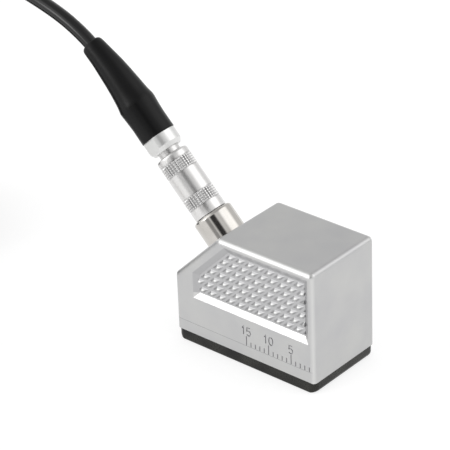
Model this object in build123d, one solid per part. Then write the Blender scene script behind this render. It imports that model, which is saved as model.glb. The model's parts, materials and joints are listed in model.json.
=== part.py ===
from build123d import *
from math import atan, cos, degrees, pi, radians, sin, sqrt, tan
import os

# Ultrasonic angle beam probe with a push-pull plug and its cable.
# Millimetres, +Z up, +X towards the plain front face. The origin is the centre of the contact face.

# Housing
housing_length = 31.3
housing_width = 17.2
housing_height = 21.75
slope_run = 10.5
edge_radius = 1.0
front_wall = 1.8
rear_wall = 1.6
top_wall = 1.8
side_wall = 1.8
slope_wall = 2.0
band_height = 2.25
band_setback = 0.2

# Grip recess with its pyramids, on both long sides
grip_front_margin = 1.1
grip_rear_margin = 4.25
grip_top_margin = 1.25
grip_slope_margin = 1.85
grip_bottom_margin = 7.75
grip_depth = 0.65
grip_wall_run = 1.1
tooth_height = 0.45
tooth_land = 0.08
tooth_gap = 0.42
tooth_row_pitch = 1.48
tooth_rows = 7
tooth_slant_pitch = 1.52
tooth_slant_start = 0.2

# Engraved scale, measured back from the front face
tick_spacing = 1.0
tick_count = 15
tick_long_every = 5
tick_short_length = 1.05
tick_long_length = 2.05
tick_width = 0.24
tick_depth = 0.15

numeral_height = 1.6
numeral_width = 0.85
numeral_gap = 0.3
numeral_above_ticks = 0.2
numeral_stroke = 0.2
numeral_depth = 0.12

# Wear sole
sole_thickness = 2.2
sole_end_radius = 0.9
sole_side_radius = 0.3

# Wedge, crystal and what lies round them
beam_incidence = 47.0
index_from_front = 11.0
wedge_path = 9.5
wedge_ledge = 1.2
wedge_top_flat = 2.0
wedge_front_height = 3.0
crystal_length = 8.0
crystal_width = 9.0
crystal_thickness = 0.5
backing_length = 7.0
backing_thickness = 3.0
backing_offset = 0.45
absorber_teeth = 6
absorber_tooth_depth = 0.6
absorber_top = 1.0

# Tuning coil
coil_core_length = 7.0
coil_flange_radius = 2.6
coil_flange_thickness = 0.8
coil_neck_radius = 1.2
coil_winding_radius = 2.35
coil_from_front = 10.6
coil_above_sole = 15.0
lead_radius = 0.2
lead_run = 1.8
lead_rise = 2.6

# Socket on the slope
ring_radius = 3.8
ring_height = 5.0
ring_round = 0.6
shank_radius = 3.4
shank_length = 5.0
socket_bore_radius = 2.6
socket_bore_floor = 2.0
socket_back_bore_radius = 2.0
latch_groove_radius = 2.95
latch_groove_width = 1.1
latch_groove_depth = 1.75
socket_flange_thickness = 0.6
contact_radius = 0.55
contact_reach = 1.6
contact_tail = 2.0
pin_tip_radius = 0.25
socket_nut_flats = 8.6
socket_nut_thickness = 1.6
ground_tag_thickness = 0.3
ground_tag_radius = 4.4
ground_tag_lug = 5.8
ground_tag_lug_width = 2.0

# Push-pull plug, along its axis from the ring's front face
sleeve_gap = 0.1
sleeve_radius = 3.1
sleeve_front_band = 1.85
sleeve_knurl_length = 2.6
sleeve_middle_band = 4.3
sleeve_rear_band = 1.25
sleeve_travel = 0.9
sleeve_lip = 1.1
sleeve_round = 0.45
knurl_ridges = 36
knurl_depth = 0.14
knurl_relief_width = 0.16
nose_length = 6.2
body_relief = 0.2
nose_bore_radius = 2.15
body_bore_radius = 1.86
neck_radius = 2.05
neck_bore_radius = 1.75
nut_radius = 3.2
nut_length = 3.0
nut_flats = 5.6
nut_chamfer_radial = 0.5
nut_chamfer_axial = 0.8
nut_web = 0.65
spigot_radius = 2.35
spigot_length = 3.3
latch_ear_width = 1.6
latch_ear_reach = 2.85
latch_slit = 0.4
insulator_rear = 5.0
pin_radius = 0.45
pin_rear = 5.6
collet_length = 3.7
collet_slit = 0.35

# Rubber boot, as radius against the distance from its front end
boot_profile = ((0.0, 3.30), (3.1, 3.27), (5.2, 3.37), (6.9, 3.47), (8.0, 3.25), (9.3, 3.09))
boot_taper = (
    (10.6, 2.955),
    (12.7, 2.76),
    (14.9, 2.565),
    (17.1, 2.32),
    (19.2, 2.145),
    (20.1, 2.05),
    (20.4, 1.92),
    (20.5, 1.7),
)
boot_bend_radius = 58.0

# Cable
cable_radius = 1.325
cable_length = 2000.0
coil_mean_radius = 14.24
coil_columns = 4
coil_layers = 6
coil_layer_pitch = 0.866
coil_centre = (-87.15, -10.95)
tie_thickness = 0.6
tie_span = 24.0
tie_angle = -10.0
cable_run_near = 4.5
cable_run_far = 6.2

# Clearances
fit = 0.02
running_clearance = 0.05
socket_clearance = 0.04
cable_clearance = 0.05
seat_clearance = 0.05

# Values worked out from the sizes above
front = housing_length / 2
rear = -housing_length / 2
floor_z = sole_thickness
top = sole_thickness + housing_height
slope_line = top - slope_run - rear
side = housing_width / 2
root2 = sqrt(2)
half_root2 = root2 / 2
sleeve_length = sleeve_front_band + 2 * sleeve_knurl_length + sleeve_middle_band + sleeve_rear_band
nut_front = sleeve_gap + sleeve_length + sleeve_travel + sleeve_gap
boot_front = nut_front + nut_length
nose_radius = socket_bore_radius - socket_clearance
body_radius = nose_radius - body_relief
cable_bore_radius = cable_radius + cable_clearance
neck_end = boot_front - nut_web - seat_clearance
boot_bend_start = boot_profile[-1][0]
boot_straight = boot_front + boot_bend_start
boot_bend = degrees((boot_taper[-1][0] - boot_bend_start) / boot_bend_radius)


def turned(*corners, radii=None):
    """Solid of revolution about Z from (radius, height) corners, each with its own rounding."""
    outline = FilletPolyline(*corners, radius=radii or [0] * len(corners), close=True)
    return revolve(Plane.XZ * make_face(outline), Axis.Z)


def ring(outer, inner, low, high):
    """Plain tube about Z between two heights."""
    return turned((inner, low), (outer, low), (outer, high), (inner, high))


def rod(radius, low, high):
    """Plain round bar about Z between two heights."""
    return turned((0, low), (radius, low), (radius, high), (0, high))


def face_at(outline, y):
    """Flat face of an (x, z) outline at one y."""
    plane = Plane(origin=(0, y, 0), x_dir=(1, 0, 0), z_dir=(0, -1, 0))
    return plane * make_face(Polyline(*outline, close=True))


def slab(outline, width):
    """Solid of an (x, z) outline, even about the middle plane."""
    return extrude(face_at(outline, 0), amount=width / 2, both=True)


def slope_pentagon(low_x, high_x, low_z, high_z, line):
    """Outline of a block whose upper rear corner is cut by the 45 degree line z = x + line."""
    return (
        (low_x, low_z),
        (high_x, low_z),
        (high_x, high_z),
        (high_z - line, high_z),
        (low_x, low_x + line),
    )


def tube_path(radius, points, radii):
    """Round bar along straight runs joined by tangent arcs."""
    path = FilletPolyline(*points, radius=radii)
    start = Plane(origin=path @ 0, z_dir=path % 0)
    return sweep(start * Circle(radius), path=path)


def arc_radii(points):
    """For each corner, the largest arc that its two runs allow."""
    corners = [Vector(*point) for point in points]
    radii = []
    for before, here, after in zip(corners, corners[1:], corners[2:]):
        arriving = here - before
        leaving = after - here
        half_turn = radians(arriving.get_angle(leaving)) / 2
        radii.append(0.45 * min(arriving.length, leaving.length) / tan(half_turn))
    return radii


# Places on the socket's axis, outward from the slope
slope_middle = Vector(rear + slope_run / 2, 0, top - slope_run / 2)
slope_out = Vector(-half_root2, 0, half_root2)
slope_down = Vector(-half_root2, 0, -half_root2)
socket_place = Plane(origin=slope_middle, x_dir=slope_down, z_dir=slope_out)
plug_place = Plane(origin=slope_middle + slope_out * ring_height, x_dir=slope_down, z_dir=slope_out)


def cavity():
    """Room inside the housing, open at the bottom."""
    outline = slope_pentagon(
        rear + rear_wall,
        front - front_wall,
        floor_z,
        top - top_wall,
        slope_line - slope_wall * root2,
    )
    return slab(outline, housing_width - 2 * side_wall)


def grip_outline(inset):
    """Outline of the grip recess, drawn in evenly from its upper edge."""
    return slope_pentagon(
        rear + grip_rear_margin + inset,
        front - grip_front_margin - inset,
        floor_z + grip_bottom_margin + inset,
        top - grip_top_margin - inset,
        slope_line - (grip_slope_margin + inset) * root2,
    )


def groove(length, pitch, depth_y):
    """Long groove along X, its flat bottom at depth_y and its flanks reaching past the teeth."""
    flank = (pitch - tooth_land - tooth_gap) / 2
    reach = 2.0
    profile = Polyline(
        (depth_y, -tooth_gap / 2),
        (depth_y, tooth_gap / 2),
        (depth_y - reach * tooth_height, tooth_gap / 2 + reach * flank),
        (depth_y - reach * tooth_height, -tooth_gap / 2 - reach * flank),
        close=True,
    )
    return extrude(Plane.YZ * make_face(profile), amount=length / 2, both=True)


def grip_teeth():
    """Field of slanted pyramids that stands on the floor of the recess and stops at its walls."""
    bottom_y = -side + grip_depth
    tops_y = bottom_y - tooth_height
    low_z = floor_z + grip_bottom_margin + grip_wall_run
    high_z = top - grip_top_margin - grip_wall_run
    plate = extrude(face_at(grip_outline(grip_wall_run), bottom_y), amount=tooth_height, both=True)
    first_row = (low_z + high_z - tooth_rows * tooth_row_pitch) / 2
    row = groove(2 * housing_length, tooth_row_pitch, bottom_y)
    grooves = [Pos(0, 0, first_row + n * tooth_row_pitch) * row for n in range(tooth_rows + 1)]
    slanted = Rot(0, -45, 0) * groove(2 * housing_length, tooth_slant_pitch, bottom_y)
    first_line = slope_line - (grip_slope_margin + grip_wall_run + tooth_slant_start) * root2
    field = housing_length - grip_front_margin - grip_rear_margin
    columns = int(field / (tooth_slant_pitch * root2)) + 1
    for n in range(columns + tooth_rows // 2 + 1):
        line = first_line - n * tooth_slant_pitch * root2
        grooves.append(Pos(0, 0, line) * slanted)
    teeth = plate - grooves
    cap = Pos(0, tops_y - side, top / 2) * Box(2 * housing_length, 2 * side, 2 * top)
    return teeth - cap


def grip_recess():
    """What is cut from the near side for the grip: a bevelled pocket less its teeth."""
    slope = grip_wall_run / grip_depth
    pocket = loft(
        [
            face_at(grip_outline(-slope * grip_depth), -side - grip_depth),
            face_at(grip_outline(grip_wall_run), -side + grip_depth),
        ],
        ruled=True,
    )
    return pocket - grip_teeth()


def scale_ticks():
    """V-cut scale marks on the near side, standing on the band's upper edge."""
    low_z = floor_z + band_height
    ticks = []
    for n in range(1, tick_count + 1):
        length = tick_short_length if n % tick_long_every else tick_long_length
        v = Polyline(
            (-tick_width / 2, 0),
            (tick_width / 2, 0),
            (0, tick_depth),
            close=True,
        )
        mark = extrude(make_face(v), amount=length)
        ticks.append(Pos(front - n * tick_spacing, -side, low_z) * mark)
    return ticks


def stroke_one(width, height):
    """Centre line of the numeral 1."""
    return Polyline((width * 0.15, height * 0.76), (width / 2, height), (width / 2, 0))


def stroke_nought(width, height):
    """Centre line of the numeral 0."""
    return Polyline(
        (width / 2, 0),
        (width * 0.86, height * 0.12),
        (width, height * 0.34),
        (width, height * 0.66),
        (width * 0.86, height * 0.88),
        (width / 2, height),
        (width * 0.14, height * 0.88),
        (0, height * 0.66),
        (0, height * 0.34),
        (width * 0.14, height * 0.12),
        close=True,
    )


def stroke_five(width, height):
    """Centre line of the numeral 5."""
    return Polyline(
        (width * 0.92, height),
        (width * 0.12, height),
        (width * 0.04, height * 0.56),
        (width * 0.5, height * 0.64),
        (width * 0.88, height * 0.54),
        (width, height * 0.32),
        (width * 0.86, height * 0.1),
        (width * 0.5, 0),
        (0, height * 0.12),
    )


numeral_strokes = {"0": stroke_nought, "1": stroke_one, "5": stroke_five}


def scale_numerals(reads_rearward):
    """Engraved numerals over the long marks; on the near side the text reads towards +X."""
    low_z = floor_z + band_height + tick_long_length + numeral_above_ticks
    plane = Plane(origin=(0, -side, low_z), x_dir=(1, 0, 0), z_dir=(0, -1, 0))
    cuts = []
    for number in range(tick_long_every, tick_count + 1, tick_long_every):
        middle = front - number * tick_spacing
        text = str(number)
        pitch = numeral_width + numeral_gap
        first = middle - (len(text) * pitch - numeral_gap) / 2
        for place, digit in enumerate(text):
            line = numeral_strokes[digit](numeral_width, numeral_height)
            if reads_rearward:
                line = mirror(line, Plane.YZ)
                shift = 2 * middle - first - place * pitch
            else:
                shift = first + place * pitch
            stroke = trace(line, numeral_stroke)
            face = plane * Pos(shift, 0) * stroke
            cuts.append(extrude(face, amount=-numeral_depth))
    return cuts


def make_housing():
    outline = slope_pentagon(rear, front, floor_z, top, slope_line)
    body = slab(outline, housing_width)
    upper_edges = body.edges().filter_by_position(Axis.Z, floor_z, top, inclusive=(False, True))
    body = fillet(upper_edges, edge_radius)
    recess = grip_recess()
    ticks = scale_ticks()
    band = Pos(0, -side, floor_z + band_height / 2) * Box(
        2 * housing_length, 2 * band_setback, band_height
    )
    cuts = [recess, band] + ticks
    body = body - cavity() - cuts - [mirror(cut, Plane.XZ) for cut in cuts]
    body = body - scale_numerals(False)
    body = body - [mirror(cut, Plane.XZ) for cut in scale_numerals(True)]
    return body - socket_place * rod(shank_radius + fit, -2 * slope_wall, slope_wall)


def make_wear_sole():
    low_x, high_x = rear, front
    outline = FilletPolyline(
        (low_x, 0),
        (high_x, 0),
        (high_x, floor_z),
        (low_x, floor_z),
        radius=[sole_end_radius, sole_end_radius, 0, 0],
        close=True,
    )
    width = housing_width - 2 * band_setback
    profile = extrude(Plane.XZ * make_face(outline), amount=width / 2, both=True)
    plan = extrude(RectangleRounded(housing_length, width, edge_radius), amount=floor_z)
    end_outline = FilletPolyline(
        (-width / 2, 0),
        (width / 2, 0),
        (width / 2, floor_z),
        (-width / 2, floor_z),
        radius=[sole_side_radius, sole_side_radius, 0, 0],
        close=True,
    )
    across = extrude(Plane.YZ * make_face(end_outline), amount=housing_length / 2, both=True)
    return profile & plan & across


# The crystal's place on the wedge, from the beam's exit point back along the beam
beam = radians(beam_incidence)
slant_along = Vector(cos(beam), 0, sin(beam))
slant_out = Vector(-sin(beam), 0, cos(beam))
crystal_middle = Vector(front - index_from_front, 0, floor_z) + slant_out * wedge_path
cavity_width = housing_width - 2 * side_wall
cavity_front = front - front_wall


def on_slant(along, out, across=0.0):
    """Point measured from the crystal's middle, along the slant, out from it and across."""
    return crystal_middle + slant_along * along + slant_out * out + Vector(0, across, 0)


def flat(point):
    """The (x, z) pair of a point."""
    return (point.X, point.Z)


slant_foot = on_slant(-crystal_length / 2 - wedge_ledge, 0)
slant_head = on_slant(crystal_length / 2 + wedge_ledge, 0)


def toothed_line():
    """Zigzag down the front of the wedge, shared by the wedge and the absorber."""
    start = Vector(slant_head.X + wedge_top_flat, 0, slant_head.Z)
    end = Vector(cavity_front, 0, floor_z + wedge_front_height)
    step = (end - start) / absorber_teeth
    inward = Vector(-step.Z, 0, step.X).normalized() * -absorber_tooth_depth
    if inward.Z > 0:
        inward = -inward
    points = []
    for n in range(absorber_teeth):
        points.append(flat(start + step * n))
        points.append(flat(start + step * (n + 0.5) + inward))
    points.append(flat(end))
    return points


def make_wedge():
    outline = [(slant_foot.X, floor_z), flat(slant_foot), flat(slant_head)]
    outline += toothed_line() + [(cavity_front, floor_z)]
    return slab(outline, cavity_width)


def make_absorber():
    zigzag = toothed_line()
    high = slant_head.Z + absorber_top
    outline = zigzag + [(cavity_front, high), (zigzag[0][0], high)]
    return slab(outline, cavity_width)


def plate_on_slant(length, width, low, high, along=0.0):
    """Flat plate lying on the wedge's slant."""
    place = Plane(origin=on_slant(along, (low + high) / 2), x_dir=slant_along, z_dir=slant_out)
    return place * Box(length, width, high - low)


def make_crystal():
    return plate_on_slant(crystal_length, crystal_width, 0, crystal_thickness)


def make_backing():
    high = crystal_thickness + backing_thickness
    return plate_on_slant(
        backing_length, crystal_width, crystal_thickness, high, -backing_offset
    )


coil_place = Plane(
    origin=(front - coil_from_front, 0, floor_z + coil_above_sole), x_dir=(1, 0, 0), z_dir=(0, 1, 0)
)


def make_coil_core():
    half = coil_core_length / 2
    neck = half - coil_flange_thickness
    return coil_place * turned(
        (0, -half),
        (coil_flange_radius, -half),
        (coil_flange_radius, -neck),
        (coil_neck_radius, -neck),
        (coil_neck_radius, neck),
        (coil_flange_radius, neck),
        (coil_flange_radius, half),
        (0, half),
    )


def make_coil_winding():
    half = coil_core_length / 2 - coil_flange_thickness
    return coil_place * ring(coil_winding_radius, coil_neck_radius + fit, -half, half)


def coil_end(sign, before=0.0):
    """Point on the rear of one flange of the coil's core, or a little before it."""
    across = sign * (coil_core_length - coil_flange_thickness) / 2
    return coil_place.origin + Vector(-coil_flange_radius - before, across, 0)


def lead(points):
    """Thin wire through the given points."""
    return tube_path(lead_radius, points, [0.8 * value for value in arc_radii(points)])


def make_crystal_lead():
    along = crystal_length / 2 - 2 * lead_radius
    across = coil_end(-1).Y
    start = on_slant(along, crystal_thickness, across)
    return lead([start, on_slant(along, lead_rise, across), coil_end(-1, lead_run), coil_end(-1)])


def socket_point(height, across=0.0):
    """Point on the socket's axis, measured out from the slope."""
    return slope_middle + slope_out * height + Vector(0, across, 0)


def make_coil_lead():
    height = -shank_length - contact_tail / 2
    start = socket_point(height, contact_radius)
    return lead([start, socket_point(height, lead_run), coil_end(1, lead_run), coil_end(1)])


def make_ground_lead():
    edge = crystal_length / 2
    across = ground_tag_lug - 3 * lead_radius
    height = -slope_wall - ground_tag_thickness
    start = on_slant(edge, crystal_thickness / 2, crystal_width / 2 - lead_run / 2)
    clear = on_slant(edge + lead_run / 2, crystal_thickness / 2, start.Y)
    corner = Vector(clear.X, across, clear.Z + lead_run)
    return lead(
        [start, clear, corner, socket_point(height - lead_rise, across), socket_point(height, across)]
    )


def make_socket_shell():
    groove_low = ring_height - latch_groove_depth - latch_groove_width
    groove_high = ring_height - latch_groove_depth
    return socket_place * turned(
        (socket_back_bore_radius, -shank_length),
        (shank_radius, -shank_length),
        (shank_radius, 0),
        (ring_radius, 0),
        (ring_radius, ring_height),
        (socket_bore_radius, ring_height),
        (socket_bore_radius, groove_high),
        (latch_groove_radius, groove_high),
        (latch_groove_radius, groove_low),
        (socket_bore_radius, groove_low),
        (socket_bore_radius, -socket_bore_floor),
        (socket_back_bore_radius, -socket_bore_floor),
        radii=[0, 0, 0, 0, ring_round, 0.15, 0, 0, 0, 0, 0, 0],
    )


def make_socket_insulator():
    flange_top = -socket_bore_floor + socket_flange_thickness
    hole = contact_radius + fit
    return socket_place * turned(
        (hole, -shank_length),
        (socket_back_bore_radius - fit, -shank_length),
        (socket_back_bore_radius - fit, -socket_bore_floor),
        (socket_bore_radius - fit, -socket_bore_floor),
        (socket_bore_radius - fit, flange_top),
        (hole, flange_top),
    )


def make_socket_contact():
    hole = pin_tip_radius + fit
    return socket_place * turned(
        (0, -shank_length - contact_tail),
        (contact_radius, -shank_length - contact_tail),
        (contact_radius, contact_reach),
        (hole, contact_reach),
        (hole, -socket_bore_floor),
        (0, -socket_bore_floor),
    )


def make_ground_tag():
    low = -slope_wall - ground_tag_thickness
    washer = rod(ground_tag_radius, low, -slope_wall)
    lug = Pos(0, ground_tag_lug / 2, low + ground_tag_thickness / 2) * Box(
        ground_tag_lug_width, ground_tag_lug, ground_tag_thickness
    )
    return socket_place * (washer + lug - rod(shank_radius + fit, 2 * low, 0))


def make_socket_nut():
    high = -slope_wall - ground_tag_thickness
    low = high - socket_nut_thickness
    hexagon = RegularPolygon(socket_nut_flats / 2, 6, major_radius=False)
    nut = extrude(Pos(0, 0, low) * hexagon, amount=socket_nut_thickness)
    return socket_place * (nut - rod(shank_radius + fit, 2 * low, 0))


def make_potting(inner):
    """Cast resin: the housing's room less everything that stands in it."""
    shank = socket_place * rod(shank_radius, -shank_length, -slope_wall)
    tail = socket_place * rod(contact_radius, -shank_length - contact_tail, -shank_length)
    wound = coil_place * rod(coil_winding_radius, -coil_core_length / 2, coil_core_length / 2)
    return cavity() - inner - [shank, tail, wound]


# Push-pull plug, built upright from its seat on the ring's front face


def knurl_groove(low):
    """One lengthwise V groove of a knurled band, at the sleeve's outer radius."""
    width = pi * sleeve_radius / knurl_ridges * 1.3
    v = Polyline(
        (sleeve_radius + knurl_depth, width),
        (sleeve_radius - knurl_depth, 0),
        (sleeve_radius + knurl_depth, -width),
        close=True,
    )
    return extrude(Pos(0, 0, low) * make_face(v), amount=sleeve_knurl_length)


def make_plug_sleeve():
    low = sleeve_gap
    high = low + sleeve_length
    body_bore = body_radius + running_clearance
    lip_bore = neck_radius + running_clearance
    body = turned(
        (body_bore, low),
        (sleeve_radius, low),
        (sleeve_radius, high),
        (lip_bore, high),
        (lip_bore, high - sleeve_lip),
        (body_bore, high - sleeve_lip),
        radii=[0.1, 0.15, sleeve_round, 0.15, 0, 0],
    )
    cuts = []
    front_knurl = low + sleeve_front_band
    rear_knurl = front_knurl + sleeve_knurl_length + sleeve_middle_band
    for knurl_low in (front_knurl, rear_knurl):
        one = knurl_groove(knurl_low)
        cuts += [Rot(0, 0, 360 * n / knurl_ridges) * one for n in range(knurl_ridges)]
        for edge in (knurl_low, knurl_low + sleeve_knurl_length - knurl_relief_width):
            cuts.append(
                ring(2 * sleeve_radius, sleeve_radius - knurl_depth, edge, edge + knurl_relief_width)
            )
    return body - cuts


def latch_heights():
    """Lowest and highest point of the latch ears, in the middle of the socket's groove."""
    high = -latch_groove_depth - fit
    return high - latch_groove_width + 2 * fit, high


def ear_box(width, reach, low, high):
    """Bar across the plug that the ears or their windows are made of."""
    return Pos(0, 0, (low + high) / 2) * Box(2 * reach, width, high - low)


def make_plug_body():
    low, high = latch_heights()
    shoulder = sleeve_gap + sleeve_length - sleeve_lip - fit
    shell = turned(
        (nose_bore_radius, -nose_length),
        (nose_radius, -nose_length),
        (nose_radius, low - seat_clearance),
        (body_radius, low - seat_clearance),
        (body_radius, shoulder),
        (neck_radius, shoulder),
        (neck_radius, neck_end),
        (neck_bore_radius, neck_end),
        (neck_bore_radius, nut_front - collet_length + nut_length / 2),
        (body_bore_radius, nut_front - collet_length + nut_length / 2),
        (body_bore_radius, 0),
        (nose_bore_radius, 0),
        radii=[0, 0.2, 0, 0, 0.2, 0, 0.1, 0, 0, 0, 0, 0],
    )
    window = ear_box(latch_ear_width + 2 * seat_clearance, sleeve_radius, low - seat_clearance, high + seat_clearance)
    return shell - window


def make_plug_latch():
    low, high = latch_heights()
    front_end = -nose_length + 0.4
    spring = ring(nose_bore_radius - fit, body_bore_radius, front_end, -fit)
    ears = ear_box(latch_ear_width, latch_ear_reach, low, high)
    ears = ears & rod(latch_ear_reach, low, high)
    slit_top = high + 1.0
    slits = [
        Rot(0, 0, angle) * Pos(0, 0, (front_end + slit_top) / 2) * Box(
            2 * nose_bore_radius, latch_slit, slit_top - front_end
        )
        for angle in (45, 135)
    ]
    return spring - slits + (ears - rod(body_bore_radius, 2 * low, 0))


def make_plug_insulator():
    front_end = -nose_length + 0.7
    contact_front = contact_reach - ring_height
    return turned(
        (contact_radius + seat_clearance, front_end),
        (body_bore_radius - fit, front_end),
        (body_bore_radius - fit, insulator_rear),
        (pin_radius + fit, insulator_rear),
        (pin_radius + fit, contact_front + 0.4),
        (contact_radius + seat_clearance, contact_front + 0.4),
    )


def make_plug_pin():
    tip = -nose_length + 0.9
    step = contact_reach - ring_height + 0.5
    cup_radius = pin_tip_radius + fit
    return turned(
        (0, tip),
        (pin_tip_radius, tip),
        (pin_tip_radius, step),
        (pin_radius, step),
        (pin_radius, pin_rear),
        (cup_radius, pin_rear),
        (cup_radius, pin_rear - 1.5),
        (0, pin_rear - 1.5),
        radii=[0, 0.1, 0, 0.1, 0, 0, 0, 0],
    )


def make_plug_collet():
    high = neck_end
    low = high - collet_length
    tube = ring(neck_bore_radius - fit, cable_radius + fit, low, high)
    slit = Pos(0, 0, (low + high) / 2 - 0.4) * Box(2 * nut_radius, collet_slit, high - low)
    return tube - slit - Rot(0, 0, 90) * slit


def make_collet_nut():
    high = boot_front
    shell = turned(
        (neck_radius + fit, nut_front),
        (nut_radius - nut_chamfer_radial, nut_front),
        (nut_radius, nut_front + nut_chamfer_axial),
        (nut_radius, high),
        (spigot_radius, high),
        (spigot_radius, high + spigot_length),
        (cable_bore_radius, high + spigot_length),
        (cable_bore_radius, high - nut_web),
        (neck_radius + fit, high - nut_web),
        radii=[0, 0.12, 0.3, 0.1, 0, 0.2, 0, 0, 0],
    )
    beyond = 2 * nut_radius
    flat_cut = Pos(0, nut_flats / 2 + beyond / 2, high - nut_length / 2) * Box(
        beyond, beyond, nut_length
    )
    return shell - flat_cut - Rot(0, 0, 180) * flat_cut


def bent_rod(radius):
    """Torus piece that carries a round bar on through the boot's bend."""
    disc = Pos(0, 0, boot_straight) * Circle(radius)
    return revolve(disc, bend_axis, boot_bend)


bend_axis = Axis((boot_bend_radius, 0, boot_straight), (0, 1, 0))


def boot_section(distance, radius):
    """Round section of the boot, at a distance from its front end along the bend."""
    angle = degrees((distance - boot_bend_start) / boot_bend_radius)
    return Pos(boot_bend_radius, 0, boot_straight) * Rot(0, angle, 0) * (
        Pos(-boot_bend_radius, 0, 0) * Circle(radius)
    )


def make_plug_boot():
    curve = Spline(*[(radius, boot_front + distance) for distance, radius in boot_profile])
    sides = Polyline(curve @ 1, (0, boot_straight), (0, boot_front), curve @ 0)
    straight = revolve(Plane.XZ * make_face(Curve() + [curve, sides]), Axis.Z)
    stations = (boot_profile[-1],) + boot_taper
    sections = [boot_section(distance, radius) for distance, radius in stations]
    tapered = loft(sections, ruled=True)
    seat = rod(spigot_radius + fit, boot_front, boot_front + spigot_length + seat_clearance)
    bore = rod(cable_bore_radius, boot_front, boot_straight)
    return straight + tapered - [seat, bore, bent_rod(cable_bore_radius)]


def make_plug_cable_end():
    jacket_low = neck_end - collet_length + 0.2
    jacket = rod(cable_radius, jacket_low, boot_straight)
    layers = turned(
        (0, pin_rear - 1.4),
        (pin_tip_radius, pin_rear - 1.4),
        (pin_tip_radius, pin_rear + 0.6),
        (0.76, pin_rear + 0.6),
        (0.76, jacket_low - 1.8),
        (0.95, jacket_low - 1.8),
        (0.95, jacket_low),
        (0, jacket_low),
    )
    return layers + jacket + bent_rod(cable_radius)


plug_pieces = {
    "sleeve": make_plug_sleeve,
    "body": make_plug_body,
    "latch": make_plug_latch,
    "insulator": make_plug_insulator,
    "pin": make_plug_pin,
    "collet": make_plug_collet,
    "collet_nut": make_collet_nut,
    "boot": make_plug_boot,
    "cable_end": make_plug_cable_end,
}

# The far plug lies on the surface beside the coil and rests on its sleeve and its boot
boot_bulge_distance, boot_bulge_radius = boot_profile[3]
boot_bulge = boot_front + boot_bulge_distance
far_tilt = atan((boot_bulge_radius - sleeve_radius) / (boot_bulge - sleeve_gap))
far_plug_place = Plane(
    origin=(-46.9, -32.84, sleeve_radius / cos(far_tilt) + 2 * fit),
    x_dir=(-sin(far_tilt), 0, -cos(far_tilt)),
    z_dir=(-cos(far_tilt), 0, sin(far_tilt)),
)


def boot_mouth(place):
    """Centre of the boot's mouth and the direction in which the cable leaves it."""
    angle = radians(boot_bend)
    centre = Vector(boot_bend_radius * (1 - cos(angle)), 0, boot_straight + boot_bend_radius * sin(angle))
    ahead = Vector(sin(angle), 0, cos(angle))
    return place.from_local_coords(centre), place.from_local_coords(centre + ahead)


# The cable's free stretches
coil_bottom = tie_thickness + seat_clearance
coil_height = 2 * cable_radius * (1 + (coil_layers - 1) * coil_layer_pitch)
coil_half_width = coil_columns * cable_radius
lying_height = coil_bottom + coil_height + cable_radius + seat_clearance
near_mouth, near_ahead = boot_mouth(plug_place)
far_mouth, far_ahead = boot_mouth(far_plug_place)

cable_points = [
    near_mouth,
    near_mouth + (near_ahead - near_mouth) * cable_run_near,
    (-52.6, 0.0, 52.9),
    (-65.3, 0.6, 55.0),
    (-79.0, 2.2, 52.7),
    (-90.6, 1.8, 44.7),
    (-98.7, -1.9, 34.8),
    (-102.9, -8.2, 25.0),
    (-102.1, -15.9, lying_height + 3.0),
    (-98.1, -22.5, lying_height + 0.5),
    (-91.8, -26.9, lying_height),
    (-84.1, -27.9, lying_height),
]
cable_tail_points = [
    (-105.0, -22.55, coil_bottom + cable_radius),
    (-101.3, -27.6, coil_bottom + cable_radius),
    (-96.1, -31.2, coil_bottom + cable_radius),
    far_mouth + (far_ahead - far_mouth) * cable_run_far,
    far_mouth,
]


def make_cable():
    return tube_path(cable_radius, cable_points, arc_radii(cable_points))


def make_cable_tail():
    return tube_path(cable_radius, cable_tail_points, arc_radii(cable_tail_points))


def coil_section(grow):
    """Section of the coil, swollen evenly by the given amount."""
    half = coil_half_width + grow
    section = RectangleRounded(2 * half, coil_height + 2 * grow, cable_radius + grow)
    place = Plane.XZ * Pos(coil_mean_radius, coil_bottom + coil_height / 2)
    return place * section


def make_cable_coil():
    return Pos(*coil_centre) * revolve(coil_section(0), Axis.Z)


def make_coil_tie():
    band = coil_section(tie_thickness) - coil_section(seat_clearance)
    return Pos(*coil_centre) * Rot(0, 0, tie_angle) * revolve(band, Axis.Z, tie_span)


pieces = {
    "housing": make_housing(),
    "wear_sole": make_wear_sole(),
    "wedge": make_wedge(),
    "crystal": make_crystal(),
    "backing": make_backing(),
    "absorber": make_absorber(),
    "coil_core": make_coil_core(),
    "coil_winding": make_coil_winding(),
    "crystal_lead": make_crystal_lead(),
    "coil_lead": make_coil_lead(),
    "ground_lead": make_ground_lead(),
    "ground_tag": make_ground_tag(),
    "socket_nut": make_socket_nut(),
    "socket_shell": make_socket_shell(),
    "socket_insulator": make_socket_insulator(),
    "socket_contact": make_socket_contact(),
    "cable": make_cable(),
    "cable_coil": make_cable_coil(),
    "coil_tie": make_coil_tie(),
    "cable_tail": make_cable_tail(),
}
potted = (
    "wedge",
    "crystal",
    "backing",
    "absorber",
    "coil_core",
    "coil_winding",
    "crystal_lead",
    "coil_lead",
    "ground_lead",
    "ground_tag",
    "socket_nut",
)
pieces["potting"] = make_potting([pieces[name] for name in potted])
for name, make in plug_pieces.items():
    piece = make()
    near_name = name if name == "collet_nut" else "plug_" + name
    pieces[near_name] = plug_place * piece
    pieces["far_" + near_name] = far_plug_place * piece

print("cable radii", [round(value, 1) for value in arc_radii(cable_points)])
print("tail radii", [round(value, 1) for value in arc_radii(cable_tail_points)])

os.makedirs("parts", exist_ok=True)
for name, piece in pieces.items():
    export_step(piece, os.path.join("parts", name + ".step"))
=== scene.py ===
import json
from math import cos, floor, pi, radians, sin, sqrt

import bpy
from mathutils import Matrix, Vector


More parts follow.
